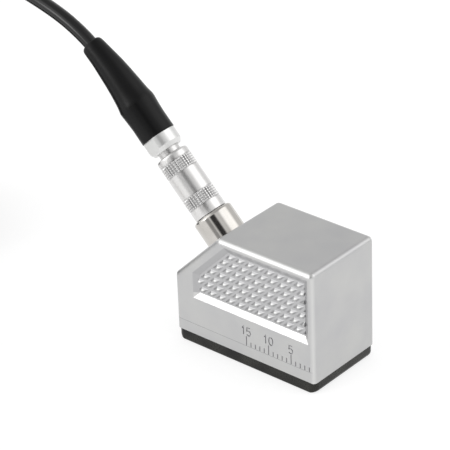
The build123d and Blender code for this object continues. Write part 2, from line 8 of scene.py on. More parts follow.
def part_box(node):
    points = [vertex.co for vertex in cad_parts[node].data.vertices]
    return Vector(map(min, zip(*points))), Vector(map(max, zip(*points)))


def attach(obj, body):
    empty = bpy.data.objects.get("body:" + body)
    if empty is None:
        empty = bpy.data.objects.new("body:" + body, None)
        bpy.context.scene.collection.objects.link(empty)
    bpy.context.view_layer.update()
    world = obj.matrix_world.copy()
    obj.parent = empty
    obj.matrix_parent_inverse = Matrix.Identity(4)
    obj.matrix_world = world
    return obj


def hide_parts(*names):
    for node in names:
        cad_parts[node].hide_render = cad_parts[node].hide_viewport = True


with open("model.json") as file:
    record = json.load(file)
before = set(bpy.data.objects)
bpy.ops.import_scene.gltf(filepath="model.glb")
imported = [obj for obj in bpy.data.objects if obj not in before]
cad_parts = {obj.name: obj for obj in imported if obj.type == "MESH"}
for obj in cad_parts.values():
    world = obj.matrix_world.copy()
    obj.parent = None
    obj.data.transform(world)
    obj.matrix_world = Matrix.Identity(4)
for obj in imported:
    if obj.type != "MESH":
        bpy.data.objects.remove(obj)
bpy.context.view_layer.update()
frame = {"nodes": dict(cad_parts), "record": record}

MM = 0.001

# Camera, as solved from the block's corners and the engraved scale: its place in metres,
# its lens and sensor in millimetres
CAMERA_PLACE = Vector((0.227539, -0.269896, 0.224446))
CAMERA_RIGHT = Vector((0.76163984, 0.64710679, -0.03402274))
CAMERA_UP = Vector((-0.29620132, 0.39436369, 0.86990922))
CAMERA_BACK = Vector((0.5763415, -0.65247995, 0.49203698))
CAMERA_LENS = 187.54
SENSOR_WIDTH = 36.0

# Light: the table's size in metres and its glow, the level of the sky, and the sky's patches,
# each with its direction, its reach and its core in degrees, and how much it adds
WHITE = (1.0, 1.0, 1.0, 1.0)
TABLE_SIZE = 6.0
FLOOR_GLOW = 0.75
SKY_LEVEL = 0.86
SKY_PATCHES = (
    ((-0.576, -0.66, 0.42), 38.0, 14.0, 0.82),
    ((-0.39, -0.87, 0.29), 13.0, 5.0, 3.0),
    ((0.60, 0.40, 0.69), 34.0, 13.0, 0.95),
    ((0.0, 0.05, 1.0), 50.0, 20.0, -0.31),
    ((0.45, -0.72, 0.52), 20.0, 8.0, -0.81),
    ((0.07, -0.98, 0.17), 14.0, 5.0, -0.45),
)

# Sizes and places taken over from the part, in millimetres, and a sleeve's count of ridges
SLOPE_RUN = 10.5
RING_HEIGHT = 5.0
NOSE_MIDDLE = 4.45
BAND_TOP = 4.45
RECESS_BOTTOM = 9.95
MARKS_REAR = -1.5
NUMERALS_FROM = 6.62
RECESS_REAR = 4.25
RECESS_FRONT = 1.1
RECESS_TOP = 1.25
RECESS_SLOPE = 1.85
RECESS_WALL = 1.1
SLEEVE_RADIUS = 3.1
SLEEVE_BORE = 2.41
SLEEVE_LOW = 0.1
SLEEVE_HIGH = 12.7
SLEEVE_LIP_BORE = 2.1
SLEEVE_LIP = 1.1
FRONT_KNURL = (1.95, 4.55)
REAR_KNURL = (8.85, 11.45)
KNURL_DEPTH = 0.14
KNURL_RELIEF = 0.16
KNURL_RIDGES = 36
BOOT_FRONT = 16.7
BOOT_STRAIGHT = 26.0
BOOT_BEND_RADIUS = 58.0
BOOT_LENGTH = 20.5
SPIGOT_RADIUS = 2.37
SPIGOT_LENGTH = 3.35
CABLE_RADIUS = 1.325
CABLE_BORE = 1.375

# Where the block's painted shade and painted highlights begin and end, in millimetres:
# depth in from its side faces, or distance from an edge, and how softly each ends
ENGRAVED_DEPTHS = (0.04, 1.0)
WALL_DEPTHS = (0.03, 1.0)
TIP_DEPTHS = (0.1, 0.38)
FOOT_DEPTHS = (0.38, 0.66)
SEAM_DEPTHS = (-0.1, 0.25)
SEAM_HALF_WIDTH = 0.06
MARKS_TO_EDGE = 0.9
MARKS_ABOVE_BAND = 0.02
MARKS_BELOW_RECESS = 0.6
TOP_EDGE_HIGHLIGHT_WIDTH = 0.75
FRONT_EDGE_HIGHLIGHT_WIDTH = 0.55
OUTSIDE = 1.0
CRISP = 0.02
CLEAN = 0.05
WALL_SOFT = 0.06
TIP_SOFT = 0.16
SOFT = 0.5

# Grain: the values that noise mostly lies between, its detail, and how much of it the relief
# takes; and the size of the clouds in moulded pieces, in millimetres
NOISE_LOW = 0.3
NOISE_HIGH = 0.7
NOISE_DETAIL = 2.0
GRAIN_STRENGTH = 0.3
MOULD_CLOUD = 5.0

# Loops of the strap: width and depth in millimetres, and how much the relief takes of them
LOOP_WIDTH = 0.35
LOOP_DEPTH = 0.06
LOOP_STRENGTH = 0.8

# Round pieces: points round them, and the sharpest angle in degrees that is shaded smooth
ROUND_COLUMNS = 96
SMOOTH_ANGLE = 32.0
STRAP_SMOOTH_ANGLE = 50.0

# Ends of a sleeve: the front one's places, in from the outside and back from the end, and
# the rear one's rounding, all in millimetres, and the steps that draw the rounding
SLEEVE_FRONT_ROUND = ((0.12, 0.0), (0.03, 0.04), (0.0, 0.15))
SLEEVE_REAR_ROUND = 0.45
SLEEVE_ROUND_STEPS = 4

# Knurling: rings of pyramids in a band; where each ring's crest starts and ends, and how
# deep the groove after it is, as shares; the groove across one ridge, column by column;
# how much of the painted shade in the hollows a band's end grooves get; and, in
# millimetres, how soon those grooves fall to their depth
KNURL_RINGS = 5
RING_CREST = (0.16, 0.84)
RING_GROOVE = 0.8
RIDGE_GROOVE = (1.0, 0.45, 0.0, 0.0, 0.0, 0.45)
RELIEF_SHADE = 0.35
ROW_STEP = 0.01

# The bore's rings along the boot's bend, and how far each is set back, in millimetres
BORE_STEPS = 8
BORE_LEAD = 0.4

# The sole's rounding, in millimetres, at its upright corners, its lower end edges and its
# lower side edges, and the steps that draw it
SOLE_CORNER = 1.4
SOLE_END_ROUND = 0.95
SOLE_SIDE_ROUND = 0.35
SOLE_CORNER_STEPS = 10
SOLE_ROUND_STEPS = 8

# The boot's outline, in millimetres: distance from its front end, and radius
BOOT_OUTLINE = (
    (0.0, 3.20),
    (0.12, 3.29),
    (1.5, 3.28),
    (3.1, 3.27),
    (4.4, 3.32),
    (5.6, 3.40),
    (6.5, 3.47),
    (6.9, 3.47),
    (7.4, 3.38),
    (8.2, 3.22),
    (9.3, 3.09),
    (10.6, 2.955),
    (12.7, 2.76),
    (14.9, 2.565),
    (17.1, 2.32),
    (19.2, 2.145),
    (20.0, 2.06),
    (20.3, 1.96),
    (20.46, 1.82),
    (20.5, 1.65),
)

# The cable's route, in millimetres: the same points as in the part
LIE_HEIGHT = 16.15
CABLE_ROUTE = (
    (-40.945, 0.0, 47.733),
    (-44.687, 0.0, 50.235),
    (-52.6, 0.0, 52.9),
    (-65.3, 0.6, 55.0),
    (-79.0, 2.2, 52.7),
    (-90.6, 1.8, 44.7),
    (-98.7, -1.9, 34.8),
    (-102.9, -8.2, 25.0),
    (-102.1, -15.9, 19.15),
    (-98.1, -22.5, 16.65),
    (-91.8, -26.9, LIE_HEIGHT),
    (-84.1, -27.9, LIE_HEIGHT),
)
TAIL_ROUTE = (
    (-105.0, -22.55, 1.975),
    (-101.3, -27.6, 1.975),
    (-96.1, -31.2, 1.975),
    (-90.15, -32.84, 1.55),
    (-84.04, -32.84, 2.65),
)

# The coil, in millimetres: its centre, the middle of its turns and its underside; then the
# pitch of its layers in cable diameters, the points in a turn, and the degrees at which a
# turn starts to shift to the next place and over which it does
COIL_CENTRE = (-87.15, -10.95)
COIL_MEAN_RADIUS = 14.24
COIL_BOTTOM = 0.65
LAYER_PITCH = 0.866
TURN_POINTS = 16
SHIFT_START = 225.0
SHIFT_SPAN = 45.0

# Where the lead comes down on the coil: angle in degrees, step out from the top turn, and
# height; then angle and height above the top turn
TOUCH_DOWN = ((298.0, -0.3, LIE_HEIGHT - 0.1), (316.0, -0.1, LIE_HEIGHT - 0.8))
SETTLING = ((334.0, 0.6), (352.0, 0.0))

# Where the tail leaves the bottom turn: the angle, how far before it the turns stop, and
# two points with their angle before it and their step out
LEAVE_ANGLE = 212.0
LEAVE_ROOM = 40.0
LEAVING = ((26.0, 0.5), (13.0, 1.4))

# The strap, in millimetres and degrees: its hidden end starts at one height on the outside
# of the coil, and its free end stops at another, round but for a blunt share of its width.
# It sags where it faces straight out or up.
STRAP_ANGLE = 2.0
STRAP_WIDTH = 5.9
STRAP_THICKNESS = 0.5
STRAP_GAP = 0.07
STRAP_SAG = 0.3
STRAP_STEP = 0.4
STRAP_START = 8.6
STRAP_END = 3.6
STRAP_RAMP = 1.2
STRAP_ROUND_END = 1.6
STRAP_BLUNT = 0.3
FACING = 0.99

# Half of the strap's section: share of the half width, and half the thickness there
STRAP_PROFILE = (
    (0.0, 0.25),
    (0.4, 0.25),
    (0.72, 0.25),
    (0.78, 0.15),
    (0.84, 0.25),
    (0.93, 0.21),
    (1.0, 0.1),
)

# Places of the turns across each layer, in cable diameters, from the top layer down
COIL_LAYERS = (
    (1.0, 0.0, -1.0),
    (-1.5, -0.5, 0.5, 1.5),
    (1.0, 0.0, -1.0),
    (-1.5, -0.5, 0.5, 1.5),
    (1.0, 0.0, -1.0),
    (-1.5, -0.5, 0.5, 1.5),
)


def linear(code):
    """Linear colour of an sRGB hex code."""
    channels = []
    for place in (1, 3, 5):
        value = int(code[place:place + 2], 16) / 255
        channels.append(value / 12.92 if value <= 0.04045 else ((value + 0.055) / 1.055) ** 2.4)
    return (*channels, 1.0)


def add(tree, kind, inputs, output=0, **settings):
    """Adds a node with its settings and inputs, plain or linked, and returns one output."""
    made = tree.nodes.new(kind)
    for name, value in settings.items():
        setattr(made, name, value)
    for name, value in inputs.items():
        socket = made.inputs[name]
        if isinstance(value, bpy.types.NodeSocket):
            tree.links.new(value, socket)
        else:
            socket.default_value = value
    return made.outputs[output] if made.outputs else None


def blank(name):
    """Empty node material, its tree and the object's coordinates."""
    made = bpy.data.materials.new(name)
    made.use_nodes = True
    made.node_tree.nodes.clear()
    return made, made.node_tree, add(made.node_tree, "ShaderNodeTexCoord", {}, "Object")


def surface(tree, inputs):
    """Ends a material's tree in its one surface shader."""
    shader = add(tree, "ShaderNodeBsdfPrincipled", inputs)
    add(tree, "ShaderNodeOutputMaterial", {"Surface": shader})


def grained(tree, coordinates, cloud_size, grain_size, colours, roughness, depth):
    """Shader inputs of a grained surface: clouds between two colours, and a fine grain.

    The sizes and the depth are in millimetres, and roughness is its lowest and highest value.
    """
    cloud = add(
        tree,
        "ShaderNodeTexNoise",
        {"Vector": coordinates, "Scale": 1 / (cloud_size * MM), "Detail": NOISE_DETAIL},
    )
    grain = add(
        tree,
        "ShaderNodeTexNoise",
        {"Vector": coordinates, "Scale": 1 / (grain_size * MM), "Detail": NOISE_DETAIL},
    )
    share = add(
        tree,
        "ShaderNodeMapRange",
        {"Value": cloud, "From Min": NOISE_LOW, "From Max": NOISE_HIGH},
    )
    colour = add(
        tree,
        "ShaderNodeMix",
        {"Factor": share, "A": linear(colours[0]), "B": linear(colours[1])},
        "Result",
        data_type="RGBA",
    )
    rough = add(
        tree,
        "ShaderNodeMapRange",
        {
            "Value": grain,
            "From Min": NOISE_LOW,
            "From Max": NOISE_HIGH,
            "To Min": roughness[0],
            "To Max": roughness[1],
        },
    )
    normal = add(
        tree,
        "ShaderNodeBump",
        {"Height": grain, "Strength": GRAIN_STRENGTH, "Distance": depth * MM},
    )
    return {"Base Color": colour, "Roughness": rough, "Normal": normal}


def plated(name, colours, roughness, cloud_size=6.0, grain_size=0.16, depth=0.004):
    """Plated or bare metal, its grain drawn coarser than the real 0.05 mm so that it shows."""
    made, tree, place = blank(name)
    inputs = grained(tree, place, cloud_size, grain_size, colours, roughness, depth)
    surface(tree, {**inputs, "Metallic": 1.0})
    return made


def moulded(name, colours, roughness, grain_size, depth, ior=1.5, specular=0.5):
    """Plastic, rubber, resin or ceramic, with the skin that its making leaves."""
    made, tree, place = blank(name)
    inputs = grained(tree, place, MOULD_CLOUD, grain_size, colours, roughness, depth)
    surface(tree, {**inputs, "IOR": ior, "Specular IOR Level": specular})
    return made


def zone(tree, *limits):
    """Share from 0 to 1 of a place that lies inside every limit.

    Each limit is a value in metres, then its low and high ends and its soft edge in millimetres.
    """
    share = 1.0
    for value, low, high, soft in limits:
        for end, side in ((low, soft / 2), (high, -soft / 2)):
            inside = add(
                tree,
                "ShaderNodeMapRange",
                {"Value": value, "From Min": (end - side) * MM, "From Max": (end + side) * MM},
            )
            share = add(tree, "ShaderNodeMath", {0: share, 1: inside}, operation="MULTIPLY")
    return share


def blasted_block_metal():
    """Brass block, bead blasted and chrome plated: an even grey that glows softly.

    Shade is painted into its low places: the engraved marks, a painted shadow line at the
    seam of the lower band, and the grip recess between the pyramids and on its upper walls.
    Painted highlights make the top and front edges, the pyramids' tips and the recess's lower
    wall a little brighter. The pits that the beads leave are about 0.05 mm wide, and are
    drawn three times as wide to show.
    """
    made, tree, place = blank("blasted_chrome_plate")
    inputs = grained(tree, place, 7.0, 0.16, ("#bcbcbd", "#c3c3c2"), (0.33, 0.40), 0.004)
    along, across, up = add(tree, "ShaderNodeSeparateXYZ", {"Vector": place}).node.outputs
    low, high = ([value / MM for value in corner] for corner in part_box("housing"))
    off_centre = add(tree, "ShaderNodeMath", {0: across}, operation="ABSOLUTE")
    depth = add(
        tree, "ShaderNodeMath", {0: high[1] * MM, 1: off_centre}, operation="SUBTRACT"
    )
    rise = add(tree, "ShaderNodeMath", {0: up, 1: along}, operation="SUBTRACT")

    def recess(inset):
        """Limits of the recess's outline, drawn in by an inset."""
        slope_inset = (RECESS_SLOPE + inset) * sqrt(2)
        slope_line = high[2] - SLOPE_RUN - low[0]
        return (
            (along, low[0] + RECESS_REAR + inset, high[0] - RECESS_FRONT - inset, CLEAN),
            (up, RECESS_BOTTOM + inset, high[2] - RECESS_TOP - inset, CLEAN),
            (rise, low[2] - high[0], slope_line - slope_inset, CLEAN),
        )

    engraved = (depth, *ENGRAVED_DEPTHS, CLEAN)
    marked = (along, MARKS_REAR, high[0] - MARKS_TO_EDGE, CRISP / 2)
    recess_foot = RECESS_BOTTOM + RECESS_WALL
    wall = (depth, *WALL_DEPTHS, WALL_SOFT)
    # Painted shade: darker towards the floor of the hollows between the pyramids
    foot = add(
        tree,
        "ShaderNodeMapRange",
        {"Value": depth, "From Min": FOOT_DEPTHS[0] * MM, "From Max": FOOT_DEPTHS[1] * MM},
        interpolation_type="SMOOTHSTEP",
    )
    foot_shade = add(
        tree,
        "ShaderNodeMath",
        {0: zone(tree, *recess(RECESS_WALL)), 1: foot},
        operation="MULTIPLY",
    )
    # Painted shade on the recess's upper walls
    upper_wall_shade = zone(tree, *recess(0.0), wall, (up, recess_foot, high[2], CLEAN))
    # Painted highlight on the recess's lower wall, which faces up
    lower_wall_highlight = zone(tree, *recess(0.0), wall, (up, RECESS_BOTTOM, recess_foot, CLEAN))
    # Painted highlight along the top edges
    upper_edge_highlight = zone(
        tree,
        (up, high[2] - TOP_EDGE_HIGHLIGHT_WIDTH, high[2] + OUTSIDE, SOFT),
        (depth, -OUTSIDE, TOP_EDGE_HIGHLIGHT_WIDTH, SOFT),
    )
    # Painted highlight along the upright front edges
    front_edge_highlight = zone(
        tree,
        (along, high[0] - FRONT_EDGE_HIGHLIGHT_WIDTH, high[0] + OUTSIDE, SOFT),
        (depth, -OUTSIDE, FRONT_EDGE_HIGHLIGHT_WIDTH, SOFT),
    )
    # Painted highlight on the pyramids' tips
    tip_highlight = zone(tree, *recess(RECESS_WALL), (depth, *TIP_DEPTHS, TIP_SOFT))
    # Painted shade in the engraved ticks and numerals
    tick_shade = zone(tree, engraved, marked, (up, BAND_TOP + MARKS_ABOVE_BAND, NUMERALS_FROM, CRISP))
    numerals_end = RECESS_BOTTOM - MARKS_BELOW_RECESS
    numeral_shade = zone(tree, engraved, marked, (up, NUMERALS_FROM, numerals_end, CRISP))
    # Painted shadow line along the seam under the lower band's step
    seam_shadow = zone(
        tree,
        (up, BAND_TOP - SEAM_HALF_WIDTH, BAND_TOP + SEAM_HALF_WIDTH, CRISP),
        (depth, *SEAM_DEPTHS, CRISP),
    )

    # Painted shade and painted highlights laid over the grained colour
    colour = inputs["Base Color"]
    for share, tone in (
        (upper_wall_shade, "#b3b3b4"),
        (lower_wall_highlight, "#cfcfce"),
        (upper_edge_highlight, "#d8d8d7"),
        (tip_highlight, "#e0e0df"),
        (foot_shade, "#b9b9ba"),
        (tick_shade, "#808083"),
        (numeral_shade, "#a7a7a9"),
        (seam_shadow, "#808082"),
        (front_edge_highlight, "#d2d2d1"),
    ):
        colour = add(
            tree,
            "ShaderNodeMix",
            {"Factor": share, "A": colour, "B": linear(tone)},
            "Result",
            data_type="RGBA",
        )
    surface(tree, {**inputs, "Base Color": colour, "Metallic": 1.0})
    return made


def knurled_plate():
    """Satin chrome of the release sleeves: pale, with painted shade darkening the knurl's grooves."""
    made, tree, place = blank("satin_knurled_plate")
    inputs = grained(tree, place, 6.0, 0.12, ("#d9d8d7", "#e0dfde"), (0.27, 0.34), 0.002)
    # Painted shade: the deeper a point lies in a groove, the darker
    groove_shade = add(tree, "ShaderNodeAttribute", {}, "Fac", attribute_name="groove_shade")
    colour = add(
        tree,
        "ShaderNodeMix",
        {"Factor": groove_shade, "A": inputs["Base Color"], "B": linear("#aeaeaf")},
        "Result",
        data_type="RGBA",
    )
    surface(tree, {**inputs, "Base Color": colour, "Metallic": 1.0})
    return made


def cast_acrylic():
    """Cast acrylic of the wedge: clear amber with sharp reflections."""
    made, tree, place = blank("cast_acrylic")
    inputs = grained(tree, place, 8.0, 1.0, ("#c79a4a", "#d8b066"), (0.06, 0.1), 0.001)
    surface(tree, {**inputs, "Transmission Weight": 0.6, "IOR": 1.49})
    return made


def knitted_strap():
    """Knitted nylon hook and loop strap: dull black, from loops a third of a millimetre wide."""
    made, tree, place = blank("knitted_nylon")
    loops = add(
        tree,
        "ShaderNodeTexVoronoi",
        {"Vector": place, "Scale": 1 / (LOOP_WIDTH * MM)},
        "Distance",
    )
    colour = add(
        tree,
        "ShaderNodeMix",
        {"Factor": loops, "A": linear("#0c0c0d"), "B": linear("#26262a")},
        "Result",
        data_type="RGBA",
    )
    normal = add(
        tree,
        "ShaderNodeBump",
        {"Height": loops, "Strength": LOOP_STRENGTH, "Distance": LOOP_DEPTH * MM},
    )
    surface(
        tree,
        {"Base Color": colour, "Normal": normal, "Roughness": 0.85, "Sheen Weight": 0.3},
    )
    return made


def ringed_piece(name, vertices, size, smooth_angle, wrapped=False):
    """Closed mesh piece through rings of points, each of one size.

    A wrapped piece joins its last ring to its first. Any other gets a face on both ends.
    """
    rows = len(vertices) // size
    faces = []
    if not wrapped:
        faces.append(tuple(range(size)))
        faces.append(tuple(reversed(range(len(vertices) - size, len(vertices)))))
    for row in range(rows if wrapped else rows - 1):
        following = (row + 1) % rows
        for column in range(size):
            beside = (column + 1) % size
            corners = (
                row * size + column,
                row * size + beside,
                following * size + beside,
                following * size + column,
            )
            faces.append(corners if wrapped else corners[::-1])
    mesh = bpy.data.meshes.new(name)
    mesh.from_pydata(vertices, [], faces)
    mesh.validate()
    mesh.shade_smooth()
    mesh.set_sharp_from_angle(angle=radians(smooth_angle))
    piece = bpy.data.objects.new(name, mesh)
    bpy.context.scene.collection.objects.link(piece)
    return piece


def lathe(name, outline, place, columns=ROUND_COLUMNS, carry=None, radius_at=None):
    """Closed mesh turned about the place's Z axis from (radius, height) pairs."""
    vertices = []
    for row, (radius, height) in enumerate(outline):
        for column in range(columns):
            angle = 2 * pi * column / columns
            reach = radius_at(row, radius, column) if radius_at else radius
            point = Vector((reach * cos(angle), reach * sin(angle), height))
            vertices.append(place @ ((carry(point) if carry else point) * MM))
    return ringed_piece(name, vertices, columns, SMOOTH_ANGLE, wrapped=True)


def knurl_heights(low, high):
    """Rows through one knurled band: for each, its height and how deep its ring groove is."""
    rows = [(low, 0.0), (low + ROW_STEP, 1.0), (low + KNURL_RELIEF, 1.0)]
    pitch = (high - low - 2 * KNURL_RELIEF) / KNURL_RINGS
    for ring in range(KNURL_RINGS):
        start = low + KNURL_RELIEF + ring * pitch
        rows += [(start + pitch * share, 0.0) for share in RING_CREST]
        if ring < KNURL_RINGS - 1:
            rows.append((start + pitch, RING_GROOVE))
    rows += [(high - KNURL_RELIEF, 1.0), (high - ROW_STEP, 1.0), (high, 0.0)]
    return rows


def release_sleeve(name, place):
    """Release sleeve with its two bands of crossed knurling."""
    outline = [(SLEEVE_BORE, SLEEVE_LOW)]
    outline += [(SLEEVE_RADIUS - inward, SLEEVE_LOW + back) for inward, back in SLEEVE_FRONT_ROUND]
    knurled = {}
    inner_rows = set()
    for low, high in (FRONT_KNURL, REAR_KNURL):
        for height, groove in knurl_heights(low, high):
            ridged = low < height < high
            knurled[len(outline)] = (groove, ridged)
            if low + KNURL_RELIEF + ROW_STEP < height < high - KNURL_RELIEF - ROW_STEP:
                inner_rows.add(len(outline))
            outline.append((SLEEVE_RADIUS, height))
    for step in range(SLEEVE_ROUND_STEPS + 1):
        angle = step / SLEEVE_ROUND_STEPS * pi / 2
        outline.append(
            (
                SLEEVE_RADIUS - SLEEVE_REAR_ROUND * (1 - cos(angle)),
                SLEEVE_HIGH - SLEEVE_REAR_ROUND * (1 - sin(angle)),
            )
        )
    lip_low = SLEEVE_HIGH - SLEEVE_LIP
    outline += [(SLEEVE_LIP_BORE, SLEEVE_HIGH), (SLEEVE_LIP_BORE, lip_low), (SLEEVE_BORE, lip_low)]

    def groove_at(row, column):
        groove, ridged = knurled.get(row, (0.0, False))
        across = RIDGE_GROOVE[column % len(RIDGE_GROOVE)] if ridged else 0.0
        return max(groove, across)

    def radius_at(row, radius, column):
        return radius - KNURL_DEPTH * groove_at(row, column)

    columns = KNURL_RIDGES * len(RIDGE_GROOVE)
    sleeve = lathe(name, outline, place, columns, radius_at=radius_at)
    # Painted shade of the knurling, per point, from the depth of its groove
    groove_shade = sleeve.data.attributes.new("groove_shade", "FLOAT", "POINT")
    for row in range(len(outline)):
        for column in range(columns):
            shade = groove_at(row, column) * (1.0 if row in inner_rows else RELIEF_SHADE)
            groove_shade.data[row * columns + column].value = shade
    return sleeve


def rounding(radius, height):
    """How far a rounded lower edge stands back at a height above the bottom."""
    return radius - sqrt(radius ** 2 - max(0.0, radius - height) ** 2)


def worn_sole():
    """Sole plate, round at its upright corners and worn round along its lower edges."""
    low, high = ([value / MM for value in corner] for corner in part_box("wear_sole"))
    middle = [(low[axis] + high[axis]) / 2 for axis in range(2)]
    half = [(high[axis] - low[axis]) / 2 - SOLE_CORNER for axis in range(2)]
    heights = [high[2]]
    for step in range(SOLE_ROUND_STEPS + 1):
        turned = pi / 2 * step / SOLE_ROUND_STEPS
        heights.append(SOLE_END_ROUND * (1 - sin(turned)))
    vertices = []
    for height in heights:
        long_radius = SOLE_CORNER - rounding(SOLE_END_ROUND, height)
        wide_radius = SOLE_CORNER - rounding(SOLE_SIDE_ROUND, height)
        for number, (side_x, side_y) in enumerate(((1, 1), (-1, 1), (-1, -1), (1, -1))):
            for step in range(SOLE_CORNER_STEPS + 1):
                turned = pi / 2 * (number + step / SOLE_CORNER_STEPS)
                along = middle[0] + side_x * half[0] + long_radius * cos(turned)
                across = middle[1] + side_y * half[1] + wide_radius * sin(turned)
                vertices.append((along * MM, across * MM, height * MM))
    return ringed_piece("worn_sole", vertices, 4 * (SOLE_CORNER_STEPS + 1), SMOOTH_ANGLE)


def bend_boot(point):
    """Carries a point of the straight boot into its bend."""
    if point.z <= BOOT_STRAIGHT:
        return point
    angle = (point.z - BOOT_STRAIGHT) / BOOT_BEND_RADIUS
    reach = BOOT_BEND_RADIUS - point.x
    return Vector(
        (BOOT_BEND_RADIUS - reach * cos(angle), point.y, BOOT_STRAIGHT + reach * sin(angle))
    )


def strain_boot(name, place):
    """Rubber boot: outside, mouth, cable bore and the seat over the nut's spigot."""
    outline = [(radius, BOOT_FRONT + distance) for distance, radius in BOOT_OUTLINE]
    outline.append((CABLE_BORE, BOOT_FRONT + BOOT_LENGTH))
    bent_length = BOOT_FRONT + BOOT_LENGTH - BOOT_STRAIGHT
    for step in range(BORE_STEPS, 0, -1):
        height = BOOT_STRAIGHT + bent_length * step / BORE_STEPS - BORE_LEAD
        outline.append((CABLE_BORE, height))
    outline += [
        (CABLE_BORE, BOOT_FRONT + SPIGOT_LENGTH),
        (SPIGOT_RADIUS, BOOT_FRONT + SPIGOT_LENGTH),
        (SPIGOT_RADIUS, BOOT_FRONT),
    ]
    return lathe(name, outline, place, carry=bend_boot)


def near_place():
    """The near plug's frame, from the housing's slope."""
    low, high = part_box("housing")
    out = Vector((-1, 0, 1)).normalized()
    down = Vector((-1, 0, -1)).normalized()
    middle = Vector((low[0] + SLOPE_RUN / 2 * MM, 0, high[2] - SLOPE_RUN / 2 * MM))
    return frame_matrix(middle + out * RING_HEIGHT * MM, down, out)


def far_place():
    """The far plug's frame, from the mount on its nose."""
    mount = next(m for m in frame["record"]["mounts"] if m["name"] == "plug_nose")
    rearward = -Vector(mount["axis"])
    return frame_matrix(
        Vector(mount["pos_m"]) + rearward * NOSE_MIDDLE * MM,
        Vector((-rearward.z, 0, rearward.x)),
        rearward,
    )


def frame_matrix(origin, x_axis, z_axis):
    """Matrix of a frame from its origin and two of its axes."""
    turned = Matrix((x_axis, z_axis.cross(x_axis), z_axis)).transposed()
    return Matrix.Translation(origin) @ turned.to_4x4()


def coil_slots():
    """Radius and height of each turn's place, from the top layer to the bottom one."""
    across = 2 * CABLE_RADIUS
    slots = []
    for number, layer in enumerate(COIL_LAYERS):
        above = (len(COIL_LAYERS) - 1 - number) * LAYER_PITCH * across
        height = COIL_BOTTOM + CABLE_RADIUS + above
        slots += [(COIL_MEAN_RADIUS + place * across, height) for place in layer]
    return slots


def on_coil(angle, radius, height):
    """Control point at an angle in degrees round the coil."""
    reach = radius / cos(pi / TURN_POINTS)
    turned = radians(angle)
    return (
        COIL_CENTRE[0] + reach * cos(turned),
        COIL_CENTRE[1] + reach * sin(turned),
        height,
    )


def coil_points():
    """Control points of the turns, from the lead lying on top to the tail leaving below."""
    slots = coil_slots()
    outer, top = slots[0]
    points = [on_coil(angle, outer + step, height) for angle, step, height in TOUCH_DOWN]
    points += [on_coil(angle, outer, top + above) for angle, above in SETTLING]
    angle = SETTLING[-1][0] + 360 / TURN_POINTS
    last = 360.0 * len(slots) + LEAVE_ANGLE - LEAVE_ROOM
    while angle < last:
        since = angle - SHIFT_START - 360
        lap = floor(since / 360)
        share = min(1.0, (since % 360) / SHIFT_SPAN)
        start = slots[max(lap, 0)]
        end = slots[min(lap + 1, len(slots) - 1)]
        points.append(
            on_coil(
                angle,
                start[0] + (end[0] - start[0]) * share,
                start[1] + (end[1] - start[1]) * share,
            )
        )
        angle += 360 / TURN_POINTS
    radius, height = slots[-1]
    points += [on_coil(LEAVE_ANGLE - before, radius + step, height) for before, step in LEAVING]
    return points


def cable_cord():
    """The whole free cable as one NURBS spline."""
    curve = bpy.data.curves.new("cable_line", "CURVE")
    curve.dimensions = "3D"
    curve.resolution_u = 6
    curve.bevel_depth = CABLE_RADIUS * MM
    curve.bevel_resolution = 5
    spline = curve.splines.new("NURBS")
    points = list(CABLE_ROUTE) + coil_points() + list(TAIL_ROUTE)
    spline.points.add(len(points) - 1)
    for target, point in zip(spline.points, points):
        target.co = (*(value * MM for value in point), 1.0)
    spline.order_u = 3
    spline.use_endpoint_u = True
    piece = bpy.data.objects.new("cable_line", curve)
    bpy.context.scene.collection.objects.link(piece)
    return piece


def strap_line():
    """The strap's middle line round the bundle, with the outward direction at each place.

    Places are distance from the coil's mean radius, and height. From its hidden end the
    strap goes down the outside, under the coil, up the inside, over the top, and down the
    outside again over its own start. It is pulled tight and sinks a little between turns.
    """
    across = 2 * CABLE_RADIUS
    heights = sorted({height for radius, height in coil_slots()})
    low, shoulder, top = heights[0], heights[-2], heights[-1]
    turn_gap = heights[2] - heights[0]
    narrow, wide = (max(layer) * across for layer in COIL_LAYERS[:2])
    corners = (
        (wide, STRAP_START, 0, 0),
        (wide, low, 0, -90),
        (-wide, low, -90, -180),
        (-wide, shoulder, -180, -210),
        (-narrow, top, -210, -270),
        (narrow, top, -270, -330),
        (wide, shoulder, -330, -360),
        (wide, STRAP_END, -360, -360),
    )
    reach = CABLE_RADIUS + STRAP_GAP + STRAP_THICKNESS / 2
    line = []
    for number, (x, z, start, end) in enumerate(corners):
        corner = Vector((x, z))
        out = Vector((cos(radians(start)), sin(radians(start))))
        before = Vector(corners[max(number - 1, 0)][:2])
        last = number == len(corners) - 1
        steps = round((corner - before).length / STRAP_STEP)
        for step in range(1, steps + (1 if last else 0)):
            middle = before.lerp(corner, step / steps)
            sunk = 0.0
            if abs(out.x) > FACING:
                sunk = STRAP_SAG * sin(pi * (middle.y - low) / turn_gap) ** 2
            elif out.y > FACING:
                sunk = STRAP_SAG / 2 * sin(pi * middle.x / across) ** 2
            over = min(1.0, max(0.0, (STRAP_START + STRAP_RAMP - middle.y) / STRAP_RAMP))
            lift = (STRAP_THICKNESS + STRAP_GAP) * over if last else 0.0
            line.append((middle + out * (reach - sunk + lift), out))
        steps = round(radians(start - end) * reach / STRAP_STEP)
        for step in range(steps + 1 if not last else 0):
            angle = radians(start + (end - start) * step / max(steps, 1))
            out = Vector((cos(angle), sin(angle)))
            line.append((corner + out * reach, out))
    return line


